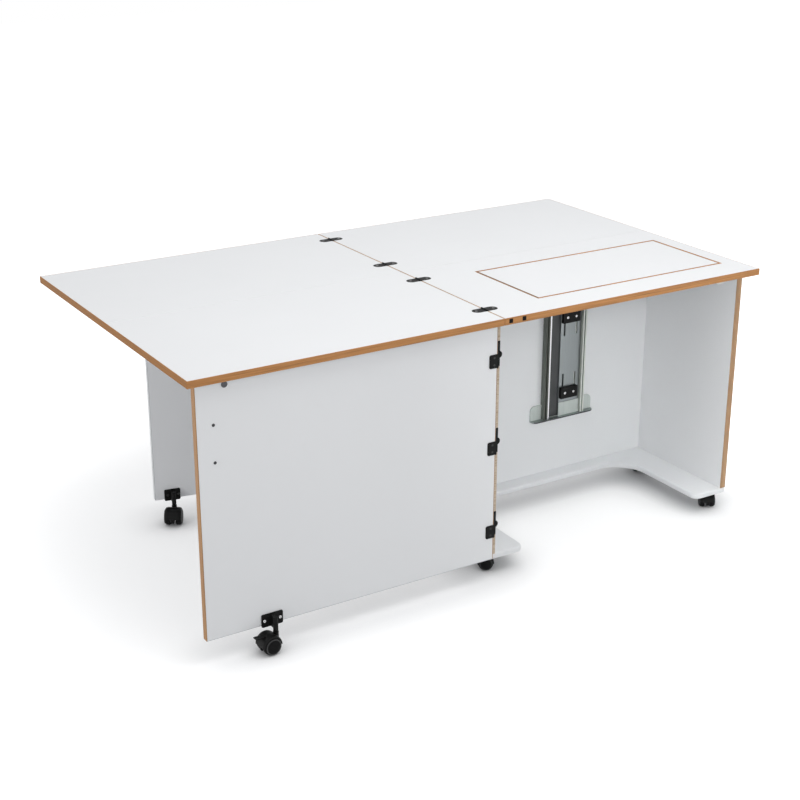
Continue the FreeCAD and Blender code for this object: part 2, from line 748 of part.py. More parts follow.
def gate_hinge(name, parent_side):
    """The three hinges of one gate joint, as (parent's solids, child's solids).

    parent_side says what carries the parent's half: a board's end, or the cabinet's rear edge.
    """
    parents, children = [], []
    for i in range(HINGES):
        low = f"(gate_hinge_low + {i} * {GATE_HINGE_STEP})"
        knuckle = "gate_knuckle"
        outer = [(low, f"{knuckle} - running_gap / 2"),
                 (f"{low} + 2 * {knuckle} + running_gap / 2", f"{knuckle} - running_gap / 2")]
        inner = [(f"{low} + {knuckle}", knuckle)]
        if parent_side == "board":
            solids = gate_half(f"{name}P{i}", "-gate_gap", "-gate_gap", outer)
        else:
            solids = []
            for j, (z, tall) in enumerate(outer):
                solids.append(cylinder(f"{name}P{i}Knuckle{j}", "0", "0", z, "gate_barrel", tall))
                solids.append(box(f"{name}P{i}Web{j}", "-leaf_plate / 2", "panel_back - gate_pin_back", z,
                                  "leaf_plate", "gate_pin_back - panel_back", tall))
                solids.append(box(f"{name}P{i}Foot{j}", "leaf_inset - gate_pin_inset",
                                  "panel_back - gate_pin_back", z, "board_thick - 2 * leaf_inset",
                                  "leaf_plate", tall))
        solids.append(cylinder(f"{name}P{i}Pin", "0", "0", low, "gate_pin", f"3 * {knuckle}"))
        parents.append(fuse(f"{name}Parent{i}", solids))
        solids = gate_half(f"{name}C{i}", "0", "gate_gap - leaf_plate", inner)
        bore = cylinder(f"{name}C{i}Bore", "0", "0", low, "gate_pin + bore_gap", f"3 * {knuckle}")
        children.append(cut(f"{name}Child{i}", fuse(f"{name}ChildSolid{i}", solids), bore))
    return parents, children


def gates():
    """A two-part gate behind the cabinet: an inner board on the cabinet's corner and an outer one on it.

    Each board is made along its own X axis with its pin at the origin, then turned into place.
    """
    turn, fold = size("gate_turn_angle"), size("gate_fold_angle")
    corner = Vector(size("gate_pin_inset"), size("front_y") + size("gate_pin_back"), 0)
    inner_place = Placement(corner, Rotation(Z_AXIS, turn))
    knee = corner + inner_place.Rotation.multVec(Vector(size("gate_inner"), 0, 0))
    outer_place = Placement(knee, Rotation(Z_AXIS, turn + fold))
    rise = "gate_top - base_top"
    inner_board = box("GateInnerBoard", "gate_gap", "-board_thick / 2", "base_top",
                      "gate_inner - 2 * gate_gap", "board_thick", rise)
    outer_board = box("GateOuterBoard", "gate_gap", "-board_thick / 2", "base_top",
                      "gate_outer - gate_gap - edging_thick", "board_thick", rise)
    strip = box("GateStrip", "gate_outer - edging_thick", "-board_thick / 2", "base_top",
                "edging_thick", "board_thick", rise)
    corner_fixed, corner_moving = gate_hinge("GateCorner", "cabinet")
    knee_fixed, knee_moving = gate_hinge("GateKnee", "board")
    placed("gate_hinges_cabinet", corner_fixed, Placement(corner, Rotation()))
    placed("gate_inner_panel", [inner_board], inner_place)
    knee_local = Placement(Vector(size("gate_inner"), 0, 0), Rotation())
    knee_group = group("KneeFixed", knee_fixed)
    knee_group.Placement = knee_local
    placed("gate_inner_hinges", corner_moving + [knee_group], inner_place)
    placed("gate_outer_panel", [outer_board], outer_place)
    placed("gate_outer_edging", [strip], outer_place)
    placed("gate_outer_hinges", knee_moving, outer_place)
    return outer_place


def placed(name, solids, where):
    """Names a group of solids made in a frame of their own and puts that frame in its place."""
    held = group(name + "_group", solids)
    held.Placement = where
    return node(name, held)


# ---------------------------------------------------------------- the machine lift

def channel(name, x):
    """A rail of C section, open to the front between two lips."""
    left, right, back, front, wall = f"({x})", f"({x} + rail_width)", BACK_FACE, RAIL_FRONT, "rail_wall"
    lip = "(rail_width / 2 - rail_slot / 2)"
    outline = [(f"{left} + {lip}", front), (left, front), (left, back), (right, back), (right, front),
               (f"{right} - {lip}", front), (f"{right} - {lip}", f"{front} + {wall}"),
               (f"{right} - {wall}", f"{front} + {wall}"), (f"{right} - {wall}", f"{back} - {wall}"),
               (f"{left} + {wall}", f"{back} - {wall}"), (f"{left} + {wall}", f"{front} + {wall}"),
               (f"{left} + {lip}", f"{front} + {wall}")]
    return extrusion(name, "XY_Plane", [outline], "lift_bottom", "lift_length")


def lift_frame():
    """The fixed part of the lift: two rails, a slotted plate, a rod, guide blocks and the foot bracket."""
    node("lift_rails", group("LiftRails", [channel("LeftRail", "left_rail_inset"),
                                           channel("RightRail", "right_rail_inset")]))
    mount_plate()
    node("lift_rod", cylinder("LiftRod", "rod_inset", f"{BACK_FACE} - rod_stand", "lift_bottom",
                              "rod_radius", "lift_length"))
    guide_blocks()
    foot_bracket()


def mount_plate():
    """A plate between the rails with a raised part, which has two slots beside each guide block."""
    backing_x = "left_rail_inset + rail_width"
    backing = box("LiftBacking", backing_x, f"{BACK_FACE} - backing_thick", "lift_bottom",
                  f"right_rail_inset - ({backing_x})", "backing_thick", "lift_length")
    raised = box("LiftRaised", "mount_plate_inset", f"{BACK_FACE} - mount_plate_proud", "lift_bottom",
                 "right_rail_inset - mount_plate_inset", "mount_plate_proud", "lift_length")
    slots = []
    for i, z in enumerate(("block_low + block_height", "block_low + block_spacing - slot_height")):
        slots += [box(f"LiftSlot{i}{j}", f"slot_inset + {j} * slot_spacing",
                      f"{BACK_FACE} - mount_plate_proud", z, "slot_width",
                      "mount_plate_proud - backing_thick", "slot_height") for j in range(2)]
    node("lift_plate", cut("LiftPlate", fuse("LiftPlates", [backing, raised]), fuse("LiftSlots", slots)))


def guide_blocks():
    """Two blocks on the raised plate, each held by two screws whose heads stand on its face."""
    blocks, screws = [], []
    front = f"{BACK_FACE} - mount_plate_proud - block_proud"
    for i in range(2):
        z = f"block_low + {i} * block_spacing"
        block = box(f"LiftBlock{i}", "block_inset", front, z, "block_width", "block_proud", "block_height")
        blocks.append(rounded(f"LiftBlockCorners{i}", block, Y_AXIS, lambda p: True, "block_corner"))
        for j in range(2):
            x = f"block_inset + block_width * {1 + 2 * j} / 4"
            screws.append(cylinder(f"BlockScrew{i}{j}", x, f"{front} - screw_head_thick / 2",
                                   f"{z} + block_height / 2", "screw_head", "screw_head_thick / 2", Y_AXIS))
    node("lift_blocks", group("LiftBlocks", blocks))
    node("lift_block_screws", group("LiftBlockScrews", screws))


def foot_bracket():
    """A shelf under the rails with a round-cornered wing up the back panel beside each rail, and a
    cover plate that stands on the shelf in front of the raised plate."""
    low = "(lift_bottom - foot_thick)"
    wing_y = f"{BACK_FACE} - foot_thick"
    right = "(foot_inset + foot_width)"
    shelf = box("FootShelf", "foot_inset", f"{RAIL_FRONT} - foot_thick", low, "foot_width",
                "lift_depth + foot_thick", "foot_thick")
    front_y = size("front_y") + size("panel_back") - size("back_thick") - size("lift_depth") - size(
        "foot_thick")
    shelf = rounded("FootShelfCorners", shelf, Z_AXIS, lambda p: abs(p.y - front_y) < NEAR, "foot_corner")
    ends = (size("foot_inset"), size("foot_inset") + size("foot_width"))
    top_z = size("lift_bottom") - size("foot_thick") + size("foot_height")
    wings = []
    for name, x0, x1 in (("Left", "foot_inset", "left_rail_inset"),
                         ("Right", "(right_rail_inset + rail_width)", right)):
        wing = box(f"FootWing{name}", x0, wing_y, low, f"{x1} - {x0}", "foot_thick", "foot_height")
        wings.append(rounded(f"FootWingCorner{name}", wing, Y_AXIS, lambda p: abs(
            p.z - top_z) < NEAR and min(abs(p.x - end) for end in ends) < NEAR, "foot_corner"))
    cover = box("FootCover", "mount_plate_inset", f"{BACK_FACE} - mount_plate_proud - foot_plate_thick",
                low, "right_rail_inset - mount_plate_inset", "foot_plate_thick",
                "foot_thick + foot_plate_height")
    node("lift_foot_bracket", fuse("FootBracket", [shelf, cover] + wings))


def slider(name, rail_x, z):
    """A T-shaped slider: a head inside one rail and a neck out through its slot to the carriage."""
    middle = f"({rail_x} + rail_width / 2)"
    inner = "(rail_width - 2 * rail_wall - 2 * running_gap)"
    neck_wide = "(rail_slot - 2 * running_gap)"
    head_y = f"{RAIL_FRONT} + rail_wall + running_gap"
    head = box(name + "Head", f"{middle} - {inner} / 2", head_y, z, inner,
               "lift_depth - 2 * rail_wall - 2 * running_gap", "slider_height")
    neck = box(name + "Neck", f"{middle} - {neck_wide} / 2", f"{RAIL_FRONT} - carriage_gap", z, neck_wide,
               f"{head_y} - ({RAIL_FRONT} - carriage_gap)", "slider_height")
    return fuse(name, [head, neck])


def lift_carriage():
    """The moving part of the lift: a bridge plate in front of the blocks, sliders in the rails, and arms."""
    plate_y = f"{RAIL_FRONT} - carriage_gap - carriage_thick"
    top = f"({UNDER} - running_gap)"
    node("carriage_plate", box("CarriagePlate", "carriage_inset", plate_y, "carriage_low",
                               "carriage_width", "carriage_thick", f"{top} - carriage_low"))
    sliders = [slider(f"Slider{i}{j}", rail_x, z)
               for i, z in enumerate(("carriage_low + slider_inset",
                                      f"{top} - slider_inset - slider_height"))
               for j, rail_x in enumerate(("left_rail_inset", "right_rail_inset"))]
    node("carriage_sliders", group("Sliders", sliders))

    arms = []
    arm_front = "front_y + arm_front"
    for i in range(2):
        x = f"arm_inset + {i} * arm_spacing"
        flange = box(f"ArmFlange{i}", x, arm_front, f"{UNDER} - running_gap - arm_plate",
                     "arm_width", f"{plate_y} - ({arm_front})", "arm_plate")
        outline = [(arm_front, top), (plate_y, top), (plate_y, f"{UNDER} - arm_root"),
                   (arm_front, f"{UNDER} - arm_nose")]
        web = extrusion(f"ArmWeb{i}", "YZ_Plane", [outline], f"{x} + arm_width / 2 - arm_plate / 2",
                        "arm_plate")
        arms.append(fuse(f"Arm{i}", [flange, web]))
    node("lift_arms", group("LiftArms", arms))
    platform()


def platform():
    """The board that carries the machine, level with the top, in oak edging of its own."""
    x0, x1 = "opening_inset + platform_gap", "opening_right - platform_gap"
    y0, y1 = "front_y + opening_front + platform_gap", "front_y + opening_back - platform_gap"
    outer = rectangle(x0, y0, x1, y1)
    inner = rectangle(f"{x0} + opening_edging", f"{y0} + opening_edging",
                      f"{x1} - opening_edging", f"{y1} - opening_edging")
    low, thick = f"{UNDER} - running_gap", "board_thick + running_gap"
    node("lift_platform", extrusion("Platform", "XY_Plane", [inner], low, thick))
    node("platform_edging", extrusion("PlatformEdging", "XY_Plane", [outer, inner], low, thick))


# ---------------------------------------------------------------- casters

def caster_wheels(name, kind):
    """Two domed wheels and their axle, turned about Y: one wheel and half an axle, then mirrored."""
    half, tread = f"({kind}_width / 2)", f"{kind}_wheel"
    inner = "(boss_radius + hood_gap)"
    body = doc.addObject("PartDesign::Body", name)
    sketch = sketch_on(body, "XY_Plane")
    points = [("0", "0"), ("axle_radius", "0"), ("axle_radius", inner), (f"{tread} - tread_edge", inner),
              (tread, f"{inner} + tread_edge")]
    points += [(f"{tread} * {radius}", f"{half} * {out}") for radius, out in WHEEL_DOME]
    points.append(("0", half))
    add_outline(sketch, points)
    turned = body.newObject("PartDesign::Revolution", name + "Turned")
    turned.Profile = sketch
    turned.ReferenceAxis = (sketch, ["V_Axis"])
    turned.Angle = 360
    doc.recompute()
    mirrored = body.newObject("PartDesign::Mirrored", name + "Mirrored")
    mirrored.Originals = [turned]
    plane = next(p for p in body.Origin.OriginFeatures if p.Role == "XZ_Plane")
    mirrored.MirrorPlane = (plane, [""])
    body.Tip = mirrored
    return body


def hood_cover(name, kind):
    """The half-round shell over both wheels, turned about Y through half a turn."""
    half = f"({kind}_width / 2)"
    inside = f"({kind}_wheel + hood_gap)"
    outside = f"({kind}_wheel + hood_gap + hood_thick)"
    outer = [(f"{outside} * {radius}", f"{half} * {out}") for radius, out in HOOD_DOME]
    outer = [(x, f"-{y}") for x, y in reversed(outer)] + outer
    inner = [(f"{inside} * {radius}", f"{half} * {out}") for radius, out in HOOD_DOME]
    inner = [(x, f"-{y}") for x, y in reversed(inner)] + inner
    body = doc.addObject("PartDesign::Body", name)
    sketch = sketch_on(body, "XY_Plane")
    add_outline(sketch, outer + inner[::-1])
    turned = body.newObject("PartDesign::Revolution", name + "Turned")
    turned.Profile = sketch
    turned.ReferenceAxis = (sketch, ["V_Axis"])
    turned.Angle = 180
    turned.Reversed = True
    return body


def brake_lever(name, kind):
    """A foot lever that sticks out behind the hood, past the wheels."""
    rise = f"{kind}_wheel + {kind}_wheel - brake_sink"
    outline = [(f"{kind}_trail + brake_root", f"{rise} - brake_thick / 2"),
               (f"{kind}_trail + brake_reach", rise),
               (f"{kind}_trail + brake_reach", f"{rise} + brake_thick"),
               (f"{kind}_trail + brake_root - brake_thick", f"{rise} + brake_thick / 2")]
    return extrusion(name, "XZ_Plane", [outline], "-brake_width / 2", "brake_width")


def caster_hood(name, kind, braked):
    """A fork web with a stem boss and a half-round hood over both wheels, trailing along +X."""
    wheel, trail = f"{kind}_wheel", f"{kind}_trail"
    outer = f"{wheel} + hood_gap + hood_thick"
    cover = hood_cover(name + "Cover", kind)
    place(cover, trail, "0", wheel)
    web = cylinder(name + "Web", trail, "-web_thick / 2", wheel, f"{wheel} + hood_gap + hood_thick / 2",
                   "web_thick", Y_AXIS)
    heel = box(name + "Heel", f"{trail} - 2 * {wheel}", "-web_thick", "-hood_thick",
               f"4 * {wheel}", "2 * web_thick", f"{wheel} / 2 + hood_thick")
    fork = cut(name + "Fork", web, heel)
    boss = cylinder(name + "Boss", "0", "0", f"{wheel}", "boss_radius", outer)
    solids = [cover, fork, boss]
    if braked:
        solids.append(brake_lever(name + "Brake", kind))
    stem_bore = cylinder(name + "StemBore", "0", "0", f"{wheel} + stem_start - hood_gap",
                         "stem_radius + bore_gap", outer)
    axle_bore = cylinder(name + "AxleBore", trail, "-web_thick", wheel, "axle_radius + bore_gap",
                         "2 * web_thick", Y_AXIS)
    return cut(name, fuse(name + "Solid", solids), fuse(name + "Bores", [stem_bore, axle_bore]))


def caster(name, kind, where, braked=False):
    """A caster's hood and wheels, as two nodes. where puts the stem's floor point and its heading."""
    hood = caster_hood(name + "Hood", kind, braked)
    hood.Placement = where
    node(name + "_hood", hood)
    wheels = caster_wheels(name + "Wheels", kind)
    axle = Vector(size(f"{kind}_trail"), 0, size(f"{kind}_wheel"))
    wheels.Placement = where.multiply(Placement(axle, Rotation()))
    node(name + "_wheels", wheels)


# Headings of the wheels from the stem, in degrees: of the cabinet's casters about +Z, and of the gates'
# casters from the right-hand end of the board's face.
DOOR_CASTER_HEADING = 184
GATE_CASTER_HEADING = 248
CABINET_CASTERS = {
    # name: (side, row, heading)
    "caster_front_left": ("left", "front", 152),
    "caster_front_right": ("right", "front", 238),
    "caster_rear_left": ("left", "rear", 200),
    "caster_rear_right": ("right", "rear", 238),
}


def cabinet_casters():
    """Four small casters under the base board, each with a plate and a stem."""
    mounts = []
    for name, (side, row, heading) in CABINET_CASTERS.items():
        x = "small_inset" if side == "left" else "body_width - small_inset"
        y = f"front_y + small_{row}"
        under = "(base_top - base_thick)"
        plate = box(name + "Plate", f"{x} - small_plate / 2", f"{y} - small_plate / 2",
                    f"{under} - small_plate_thick", "small_plate", "small_plate", "small_plate_thick")
        stem = cylinder(name + "Stem", x, y, "small_wheel + stem_start", "stem_radius",
                        f"{under} - small_wheel - stem_start")
        mounts.append(fuse(name + "Mount", [plate, stem]))
        inset = size("small_inset")
        stem_x = inset if side == "left" else size("body_width") - inset
        where = Vector(stem_x, size("front_y") + size(f"small_{row}"), 0)
        caster(name, "small", Placement(where, Rotation(Z_AXIS, heading)))
    node("cabinet_caster_mounts", group("CabinetCasterMounts", mounts))


def mount(name, wide):
    """A plate with a sleeve that holds a caster's stem off an upright board's face.

    In its own frame the board's face is the plane Y = 0, the stem stands on -Y and X = 0 is the stem.
    """
    low = "base_top - mount_drop"
    sleeve_low = "base_top - sleeve_drop"
    plate = box(name + "Plate", f"-{wide} / 2", "-mount_thick", low, wide, "mount_thick", "mount_height")
    plate = rounded(name + "PlateCorners", plate, Y_AXIS, lambda p: True, "mount_corner")
    web = box(name + "Web", "-mount_web / 2", "-stem_stand", low, "mount_web",
              "stem_stand - mount_thick / 2", "mount_height - mount_corner")
    sleeve = cylinder(name + "Sleeve", "0", "-stem_stand", sleeve_low, "sleeve_radius", "mount_height")
    stem = cylinder(name + "Stem", "0", "-stem_stand", "large_wheel + stem_start", "stem_radius",
                    f"{low} - large_wheel - stem_start")
    screws = [cylinder(f"{name}Screw{i}", f"{side} * ({wide} / 2 - mount_screw_inset)",
                       "-mount_thick - screw_head_thick / 2", f"{low} + mount_height / 2",
                       "screw_head", "screw_head_thick", Y_AXIS)
              for i, side in enumerate((-1, 1))]
    return fuse(name, [plate, web, sleeve, stem] + screws)


def gate_casters(outer_place):
    """One large caster on the front gate's front face and one near the end of the rear gate."""
    stem_x = -(size("door_gap") + size("door_length")) + size("door_caster_inset")
    face = Placement(Vector(stem_x, size("front_y") + size("door_front"), 0), Rotation())
    placed("door_caster_bracket", [mount("DoorMount", "door_mount_width")], face)
    stand = Placement(Vector(0, -size("stem_stand"), 0), Rotation())
    caster("door_caster", "large", face.multiply(stand).multiply(turned_by(DOOR_CASTER_HEADING)), braked=True)

    along = Vector(size("gate_outer") - size("gate_caster_inset"), size("board_thick") / 2, 0)
    face = outer_place.multiply(Placement(along, Rotation(Z_AXIS, 180)))
    placed("gate_caster_bracket", [mount("GateMount", "gate_mount_width")], face)
    caster("gate_caster", "large", face.multiply(stand).multiply(turned_by(GATE_CASTER_HEADING)))


def turned_by(angle):
    return Placement(Vector(), Rotation(Z_AXIS, angle))


# ---------------------------------------------------------------- building, checking and writing

def check():
    """Stops the build if any object failed or any sub-part has no valid shape."""
    failed = [o.Name for o in doc.Objects if "Invalid" in o.State or "Error" in o.State]
    if failed:
        raise RuntimeError(f"objects that failed: {failed}")
    for name, obj in nodes.items():
        if obj.Shape.isNull() or not obj.Shape.isValid() or not obj.Shape.Solids:
            raise RuntimeError(f"{name} has no valid solid")


def main():
    main_top()
    leaves()
    link_hinges()
    drop_hinges()
    cabinet_boards()
    base_board()
    door()
    door_hinges()
    door_furniture()
    outer_place = gates()
    lift_frame()
    lift_carriage()
    cabinet_casters()
    gate_casters(outer_place)
    doc.recompute()
    check()
    os.makedirs("parts", exist_ok=True)
    for name, obj in nodes.items():
        obj.Shape.exportStep(f"parts/{name}.step")
    print(f"{len(nodes)} sub-parts written")


main()
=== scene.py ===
"""The looks of the folding sewing cutting table, built round its CAD frame. Metres, +Z up."""

import json
import math

import bmesh
import bpy
from mathutils import Matrix, Vector

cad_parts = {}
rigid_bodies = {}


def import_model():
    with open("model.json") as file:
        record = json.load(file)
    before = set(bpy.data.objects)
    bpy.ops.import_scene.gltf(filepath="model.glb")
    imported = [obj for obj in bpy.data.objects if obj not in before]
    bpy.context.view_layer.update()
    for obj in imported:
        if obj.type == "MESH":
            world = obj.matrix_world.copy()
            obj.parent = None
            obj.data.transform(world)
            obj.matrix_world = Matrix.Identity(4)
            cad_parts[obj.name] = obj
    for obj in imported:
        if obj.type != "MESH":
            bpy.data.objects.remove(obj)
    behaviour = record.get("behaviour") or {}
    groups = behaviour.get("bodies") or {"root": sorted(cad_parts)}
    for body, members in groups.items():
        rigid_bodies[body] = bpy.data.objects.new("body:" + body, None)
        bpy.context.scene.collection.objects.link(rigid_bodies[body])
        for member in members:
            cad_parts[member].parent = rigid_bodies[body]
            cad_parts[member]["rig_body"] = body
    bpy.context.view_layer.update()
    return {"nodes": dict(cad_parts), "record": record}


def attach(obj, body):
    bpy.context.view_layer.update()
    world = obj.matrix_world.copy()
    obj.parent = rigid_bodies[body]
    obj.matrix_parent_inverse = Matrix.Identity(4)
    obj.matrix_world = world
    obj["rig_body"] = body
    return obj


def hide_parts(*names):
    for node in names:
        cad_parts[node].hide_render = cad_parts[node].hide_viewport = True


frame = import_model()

NODES = frame["nodes"]
MM = 0.001
WHITE = (1.0, 1.0, 1.0)
# a face looks along an axis when its normal's part along it is over this
LOOKS_ALONG = 0.7


# ---------------------------------------------------------------- node trees

# a Mix node's sockets for colours, which share their names with those for numbers
MIX_A, MIX_B, MIX_RESULT = 6, 7, 2


class Tree:
    """A node tree, with short names for what the world, the floor and the materials share."""

    def __init__(self, tree):
        self.nodes = tree.nodes
        self.links = tree.links

    def feed(self, socket, value):
        """Sets a number, vector or colour on a socket, or links another node's output to it."""
        if isinstance(value, (int, float)):
            socket.default_value = value
        elif isinstance(value, tuple):
            socket.default_value = (*value, 1.0)[:len(socket.default_value)]
        else:
            self.links.new(value, socket)

    def node(self, kind, values, **settings):
        """A new node with its settings, its inputs fed by name or number."""
        made = self.nodes.new(kind)
        for name, setting in settings.items():
            setattr(made, name, setting)
        for name, value in values.items():
            self.feed(made.inputs[name], value)
        return made

    def math(self, kind, a, b):
        return self.node("ShaderNodeMath", {0: a, 1: b}, operation=kind).outputs[0]

    def seen_ray(self):
        """1 for a ray that shows the backdrop: from the camera, in a reflection or through glass."""
        path = self.nodes.new("ShaderNodeLightPath")
        direct = self.math("MAXIMUM", path.outputs["Is Camera Ray"], path.outputs["Is Glossy Ray"])
        return self.math("MAXIMUM", direct, path.outputs["Is Transmission Ray"])


# ---------------------------------------------------------------- camera, floor and light

# in metres and radians, and the lens and the sensor in millimetres
CAMERA_PLACE = (-2.1725, -3.5045, 1.963)
CAMERA_YAW = 0.5514
CAMERA_PITCH = 0.3667
CAMERA_LENS = 68.26
CAMERA_SENSOR = 36.0
CAMERA_NEAR = 0.1
CAMERA_FAR = 60.0

SKY_TINT = (0.97, 0.985, 1.0)
SKY_LEVEL = 0.6

FLOOR_SIZE = 24.0
FLOOR_COLOUR = (0.62, 0.62, 0.625)
# how far from the table's middle the floor's own white starts and ends to rise, in metres, and from
# what to what
FLOOR_GLOW = {"From Min": 0.8, "From Max": 1.7, "To Min": 0.51, "To Max": 0.85}
# painted contact shadow: how far off a thing starts to dim that white, in metres, and how strongly
CONTACT_REACH = 0.15
CONTACT_POWER = 1.8
CONTACT_SAMPLES = 16

INSIDE_TINT = (0.97, 1.0, 0.985)
WIDE = 180.0
# of a lamp: its place, what it looks at, its width and height, its power in watts, its tint, and its
# spread in degrees
LAMPS = {
    "key": ((0.3, -1.1, 3.2), (0.1, -0.2, 0.7), (2.2, 1.8), 30.0, WHITE, WIDE),
    "right": ((2.3, -2.0, 0.9), (0.6, 0.0, 0.4), (1.0, 0.9), 6.0, INSIDE_TINT, WIDE),
    "inside": ((-0.25, -2.5, 1.5), (0.82, -0.25, 0.16), (0.6, 0.5), 0.95, INSIDE_TINT, 36.0),
    "door": ((-0.9, -2.8, 2.1), (-0.45, -0.46, 0.78), (0.8, 0.5), 0.6, WHITE, 50.0),
    "left": ((-3.2, -0.6, 0.8), (-0.8, 0.3, 0.4), (1.2, 1.0), 20.0, WHITE, WIDE),
    "back": ((0.4, 3.2, 2.8), (0.0, 0.0, 0.6), (3.0, 1.8), 3.0, WHITE, WIDE),
}


def make_camera():
    data = bpy.data.cameras.new("camera")
    data.lens = CAMERA_LENS
    data.sensor_width = CAMERA_SENSOR
    data.clip_start = CAMERA_NEAR
    data.clip_end = CAMERA_FAR
    camera = bpy.data.objects.new("camera", data)
    bpy.context.scene.collection.objects.link(camera)
    camera.location = CAMERA_PLACE
    camera.rotation_euler = (math.pi / 2 - CAMERA_PITCH, 0.0, -CAMERA_YAW)
    bpy.context.scene.camera = camera


def make_lamp(name, place, target, size, power, tint, spread):
    """A rectangular lamp that neither the camera nor a reflection shows."""
    data = bpy.data.lights.new(name, "AREA")
    data.shape = "RECTANGLE"
    data.size, data.size_y = size
    data.energy = power
    data.color = tint
    data.spread = math.radians(spread)
    light = bpy.data.objects.new(name, data)
    bpy.context.scene.collection.objects.link(light)
    light.visible_camera = light.visible_glossy = False
    light.location = place
    light.rotation_euler = (Vector(target) - Vector(place)).to_track_quat("-Z", "Y").to_euler()


def make_world():
    """White for the camera and in reflections, and a softer, slightly blue white as light."""
    world = bpy.data.worlds.new("studio")
    bpy.context.scene.world = world
    world.use_nodes = True
    tree = Tree(world.node_tree)
    tree.nodes.clear()
    seen = tree.node("ShaderNodeBackground", {"Color": WHITE, "Strength": 1.0})
    lit = tree.node("ShaderNodeBackground", {"Color": SKY_TINT, "Strength": SKY_LEVEL})
    either = tree.node("ShaderNodeMixShader", {0: tree.seen_ray(), 1: lit.outputs[0], 2: seen.outputs[0]})
    tree.node("ShaderNodeOutputWorld", {"Surface": either.outputs[0]})


def floor_material():
    """A matt pale grey, and over it a white glow that only a ray that shows the backdrop meets. The glow
    rises away from the table, and ambient occlusion dims it close to things as a painted contact shadow."""
    material = bpy.data.materials.new("studio_floor")
    material.use_nodes = True
    tree = Tree(material.node_tree)
    tree.nodes.clear()
    place = tree.nodes.new("ShaderNodeTexCoord")
    away = tree.node("ShaderNodeVectorMath", {0: place.outputs["Object"]}, operation="LENGTH")
    rise = tree.node("ShaderNodeMapRange", {"Value": away.outputs["Value"], **FLOOR_GLOW},
                     interpolation_type="SMOOTHSTEP")
    seen = tree.math("MULTIPLY", rise.outputs["Result"], tree.seen_ray())
    # ambient occlusion dims the glow near things: a painted contact shadow on the floor
    contact = tree.node("ShaderNodeAmbientOcclusion", {"Distance": CONTACT_REACH}, samples=CONTACT_SAMPLES)
    strength = tree.math("MULTIPLY", seen, tree.math("POWER", contact.outputs["AO"], CONTACT_POWER))
    glow = tree.node("ShaderNodeEmission", {"Color": WHITE, "Strength": strength})
    matt = tree.node("ShaderNodeBsdfDiffuse", {"Color": FLOOR_COLOUR})
    both = tree.node("ShaderNodeAddShader", {0: matt.outputs[0], 1: glow.outputs[0]})
    tree.node("ShaderNodeOutputMaterial", {"Surface": both.outputs[0]})
    return material


def make_floor():
    bpy.ops.mesh.primitive_plane_add(size=FLOOR_SIZE, location=(0.0, 0.0, 0.0))
    floor = bpy.context.object
    floor.name = "studio_floor"
    floor.data.materials.append(floor_material())


def make_studio():
    bpy.context.scene.view_settings.view_transform = "Standard"
    make_camera()
    make_world()
    make_floor()
    for name, lamp in LAMPS.items():
        make_lamp(name, *lamp)


# ---------------------------------------------------------------- materials

class Shader(Tree):
    """One material's node tree: patterns in the object's own space that feed its principled surface. The
    plain colour and roughness it is made with show where no pattern is linked."""

    def __init__(self, name, colour, roughness, metallic=0.0, sheen=0.5):
        self.material = bpy.data.materials.new(name)
        self.material.use_nodes = True
        super().__init__(self.material.node_tree)
        self.surface = self.nodes["Principled BSDF"]
        self.feed(self.surface.inputs["Base Color"], colour)
        self.feed(self.surface.inputs["Roughness"], roughness)
        self.feed(self.surface.inputs["Metallic"], metallic)
        self.feed(self.surface.inputs["Specular IOR Level"], sheen)
        self.place = self.nodes.new("ShaderNodeTexCoord").outputs["Object"]

    def stretched(self, scale):
        """The place, scaled along each axis, for a pattern drawn out along the least scaled one."""
        return self.node("ShaderNodeMapping", {"Vector": self.place, "Scale": scale}).outputs["Vector"]

    def noise(self, vector, scale, detail=4.0, rough=0.5):
        values = {"Vector": vector, "Scale": scale, "Detail": detail, "Roughness": rough}
        return self.node("ShaderNodeTexNoise", values).outputs["Fac"]

    def ramp(self, value, *stops):
        """A ramp through stops of a position and a colour or a grey."""
        made = self.node("ShaderNodeValToRGB", {"Fac": value})
        elements = made.color_ramp.elements
        while len(elements) < len(stops):
            elements.new(0.5)
        for element, (position, colour) in zip(elements, stops):
            element.position = position
            element.color = (*colour, 1.0) if isinstance(colour, tuple) else (colour, colour, colour, 1.0)
        return made.outputs["Color"]

    def mix(self, factor, a, b):
        values = {"Factor": factor, MIX_A: a, MIX_B: b}
        return self.node("ShaderNodeMix", values, data_type="RGBA").outputs[MIX_RESULT]

    def colour(self, value):
        self.links.new(value, self.surface.inputs["Base Color"])

    def roughness(self, value, low, high):
        spread = self.node("ShaderNodeMapRange", {"Value": value, "To Min": low, "To Max": high})
        self.links.new(spread.outputs["Result"], self.surface.inputs["Roughness"])

    def bump(self, value, strength, distance):
        made = self.node("ShaderNodeBump", {"Height": value, "Strength": strength, "Distance": distance})
        self.links.new(made.outputs["Normal"], self.surface.inputs["Normal"])

    def edge_wear(self, share):
        """Up to a share on worn convex edges, from the mesh's own pointiness."""
        geometry = self.nodes.new("ShaderNodeNewGeometry")
        worn = self.ramp(geometry.outputs["Pointiness"], (0.5, 0.0), (0.55, 1.0))
        return self.math("MULTIPLY", worn, share)


def tinted(colour, tint):
    """A colour with each of its three parts changed by its own share."""
    return tuple(c * t for c, t in zip(colour, tint))


def toned(colour, share):
    """A colour made darker or lighter."""
    return tuple(c * share for c in colour)


